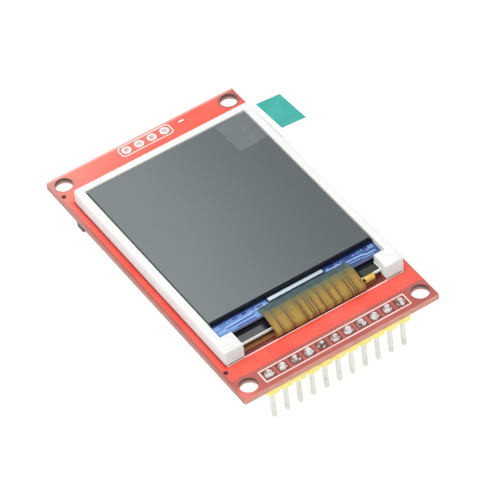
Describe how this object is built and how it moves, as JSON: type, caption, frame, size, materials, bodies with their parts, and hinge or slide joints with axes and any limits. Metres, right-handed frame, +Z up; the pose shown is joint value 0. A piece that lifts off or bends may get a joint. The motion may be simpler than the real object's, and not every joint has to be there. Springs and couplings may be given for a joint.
{
  "type": "tft display module",
  "caption": "Small colour display on a red circuit board, with a pin header along one end and a memory card socket on the back.",
  "frame": {"origin": "middle of the four mounting holes, on the board's display face", "axes": "+X along the pin row, +Y from the pin row towards the four plated holes, +Z up out of the display face"},
  "size_m": [0.0424, 0.062, 0.0131],
  "materials": {
    "red_board": "red solder mask on glass-fibre board",
    "yellow_plastic": "moulded yellow plastic",
    "pin_metal": "bright plated square wire",
    "solder": "bright solder",
    "hole_plating": "tinned copper",
    "foam_tape": "double-sided foam tape",
    "white_plastic": "moulded white plastic, satin",
    "reflector_film": "white reflecting film",
    "clear_acrylic": "clear moulded acrylic",
    "diffusing_film": "frosted film",
    "dark_tape": "dark light-shield tape",
    "diode_case": "white case with yellow phosphor",
    "amber_film": "amber polyimide film over copper traces",
    "polarizer_film": "grey polarizing film, soft gloss",
    "display_glass": "thin glass",
    "clear_film": "clear plastic film",
    "green_film": "teal green plastic film",
    "silicon": "bare ground silicon",
    "socket_plastic": "black moulded plastic",
    "stamped_steel": "plated stamped steel",
    "spring_metal": "gold-plated spring metal",
    "black_epoxy": "black moulded epoxy",
    "lead_metal": "tinned leads",
    "resistor_ceramic": "black glazed face with tinned ends",
    "capacitor_ceramic": "tan ceramic with tinned ends"
  },
  "bodies": {
    "root": {"circuit_board": "red_board", "header_strip": "yellow_plastic", "header_pin_01": "pin_metal", "header_pin_02": "pin_metal", "header_pin_03": "pin_metal", "header_pin_04": "pin_metal", "header_pin_05": "pin_metal", "header_pin_06": "pin_metal", "header_pin_07": "pin_metal", "header_pin_08": "pin_metal", "header_pin_09": "pin_metal", "header_pin_10": "pin_metal", "header_pin_11": "pin_metal", "header_solder_joints": "solder", "flex_solder_joints": "solder", "plated_eyelets": "hole_plating", "mounting_tape": "foam_tape", "display_frame": "white_plastic", "reflector_sheet": "reflector_film", "light_guide": "clear_acrylic", "diffuser_sheet": "diffusing_film", "lower_prism_sheet": "diffusing_film", "upper_prism_sheet": "diffusing_film", "light_shield_tape": "dark_tape", "backlight_led_1": "diode_case", "backlight_led_2": "diode_case", "backlight_led_3": "diode_case", "main_flex": "amber_film", "backlight_flex": "amber_film", "rear_polarizer": "polarizer_film", "front_polarizer": "polarizer_film", "array_glass": "display_glass", "filter_glass": "display_glass", "protective_film": "clear_film", "pull_tab_strip": "clear_film", "pull_tab_grip": "green_film", "driver_chip": "silicon", "card_socket_base": "socket_plastic", "card_socket_shell": "stamped_steel", "card_contact_1": "spring_metal", "card_contact_2": "spring_metal", "card_contact_3": "spring_metal", "card_contact_4": "spring_metal", "card_contact_5": "spring_metal", "card_contact_6": "spring_metal", "card_contact_7": "spring_metal", "card_contact_8": "spring_metal", "card_contact_9": "spring_metal", "card_detect_spring": "spring_metal", "write_lock_spring": "spring_metal", "regulator_body": "black_epoxy", "regulator_leads": "lead_metal", "chip_resistor_1": "resistor_ceramic", "chip_resistor_2": "resistor_ceramic", "chip_resistor_3": "resistor_ceramic", "chip_resistor_4": "resistor_ceramic", "chip_resistor_5": "resistor_ceramic", "chip_capacitor_1": "capacitor_ceramic", "chip_capacitor_2": "capacitor_ceramic"}
  },
  "joints": []
}
